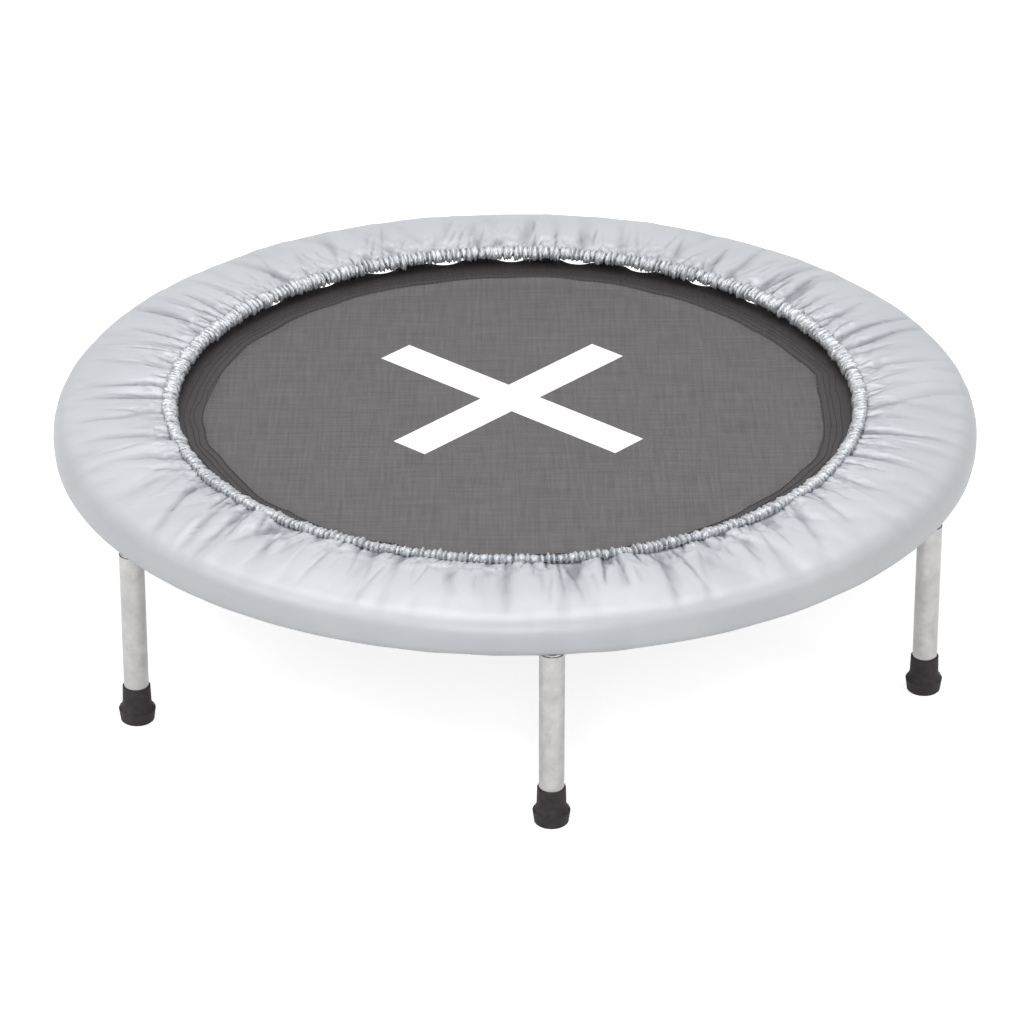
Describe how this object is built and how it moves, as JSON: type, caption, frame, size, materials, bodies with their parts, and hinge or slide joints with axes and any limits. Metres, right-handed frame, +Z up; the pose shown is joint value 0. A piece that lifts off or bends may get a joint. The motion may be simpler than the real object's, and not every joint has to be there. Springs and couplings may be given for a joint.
{
  "type": "mini trampoline",
  "caption": "Low round mini trampoline: woven bed on springs inside a padded tubular ring, on screw-in legs with rubber feet.",
  "frame": {"origin": "centre of the circle of feet, on the floor", "axes": "+Z up, -Y towards leg 1 at the front"},
  "size_m": [0.9684, 0.9758, 0.2439],
  "materials": {
    "zinc": "zinc plated, satin",
    "bolt_steel": "plated",
    "foot_rubber": "moulded, matt",
    "spring_steel": "galvanised wire",
    "bed_fabric": "woven polypropylene, matt",
    "webbing": "woven webbing",
    "cross_white": "printed white",
    "cover_vinyl": "coated fabric, satin silver",
    "foam": "open-cell foam",
    "elastic": "braided"
  },
  "bodies": {
    "frame": {"frame_ring": "zinc", "leg_bushes": "zinc", "pad_cover": "cover_vinyl", "pad_foam": "foam", "gathered_casing": "cover_vinyl", "hem_elastic": "elastic", "spring_01": "spring_steel", "spring_02": "spring_steel", "spring_03": "spring_steel", "spring_04": "spring_steel", "spring_05": "spring_steel", "spring_06": "spring_steel", "spring_07": "spring_steel", "spring_08": "spring_steel", "spring_09": "spring_steel", "spring_10": "spring_steel", "spring_11": "spring_steel", "spring_12": "spring_steel", "spring_13": "spring_steel", "spring_14": "spring_steel", "spring_15": "spring_steel", "spring_16": "spring_steel", "spring_17": "spring_steel", "spring_18": "spring_steel", "spring_19": "spring_steel", "spring_20": "spring_steel", "spring_21": "spring_steel", "spring_22": "spring_steel", "spring_23": "spring_steel", "spring_24": "spring_steel", "spring_25": "spring_steel", "spring_26": "spring_steel", "spring_27": "spring_steel", "spring_28": "spring_steel", "spring_29": "spring_steel", "spring_30": "spring_steel", "spring_31": "spring_steel", "spring_32": "spring_steel"},
    "bed": {"mat": "bed_fabric", "webbing_tabs": "webbing", "v_rings": "spring_steel", "centre_cross": "cross_white"},
    "leg_1": {"leg_1": "zinc", "leg_bolt_1": "bolt_steel", "foot_1": "foot_rubber"},
    "leg_2": {"leg_2": "zinc", "leg_bolt_2": "bolt_steel", "foot_2": "foot_rubber"},
    "leg_3": {"leg_3": "zinc", "leg_bolt_3": "bolt_steel", "foot_3": "foot_rubber"},
    "leg_4": {"leg_4": "zinc", "leg_bolt_4": "bolt_steel", "foot_4": "foot_rubber"},
    "leg_5": {"leg_5": "zinc", "leg_bolt_5": "bolt_steel", "foot_5": "foot_rubber"},
    "leg_6": {"leg_6": "zinc", "leg_bolt_6": "bolt_steel", "foot_6": "foot_rubber"}
  },
  "joints": [
    {"name": "bed_bounce", "type": "slide", "parent": "frame", "child": "bed", "axis": [0, 0, 1], "range_m": [-0.08, 0], "stiffness_N_per_m": 9000, "springref_m": 0.005, "deforming": ["spring_01", "spring_02", "spring_03", "spring_04", "spring_05", "spring_06", "spring_07", "spring_08", "spring_09", "spring_10", "spring_11", "spring_12", "spring_13", "spring_14", "spring_15", "spring_16", "spring_17", "spring_18", "spring_19", "spring_20", "spring_21", "spring_22", "spring_23", "spring_24", "spring_25", "spring_26", "spring_27", "spring_28", "spring_29", "spring_30", "spring_31", "spring_32"]},
    {"name": "leg_1_screw", "type": "hinge", "parent": "frame", "child": "leg_1", "pos_m": [0, -0.469, 0.1917], "axis": [0, 0, -1], "range_deg": [0, 360]},
    {"name": "leg_2_screw", "type": "hinge", "parent": "frame", "child": "leg_2", "pos_m": [0.40617, -0.2345, 0.1917], "axis": [0, 0, -1], "range_deg": [0, 360]},
    {"name": "leg_3_screw", "type": "hinge", "parent": "frame", "child": "leg_3", "pos_m": [0.40617, 0.2345, 0.1917], "axis": [0, 0, -1], "range_deg": [0, 360]},
    {"name": "leg_4_screw", "type": "hinge", "parent": "frame", "child": "leg_4", "pos_m": [0, 0.469, 0.1917], "axis": [0, 0, -1], "range_deg": [0, 360]},
    {"name": "leg_5_screw", "type": "hinge", "parent": "frame", "child": "leg_5", "pos_m": [-0.40617, 0.2345, 0.1917], "axis": [0, 0, -1], "range_deg": [0, 360]},
    {"name": "leg_6_screw", "type": "hinge", "parent": "frame", "child": "leg_6", "pos_m": [-0.40617, -0.2345, 0.1917], "axis": [0, 0, -1], "range_deg": [0, 360]}
  ]
}
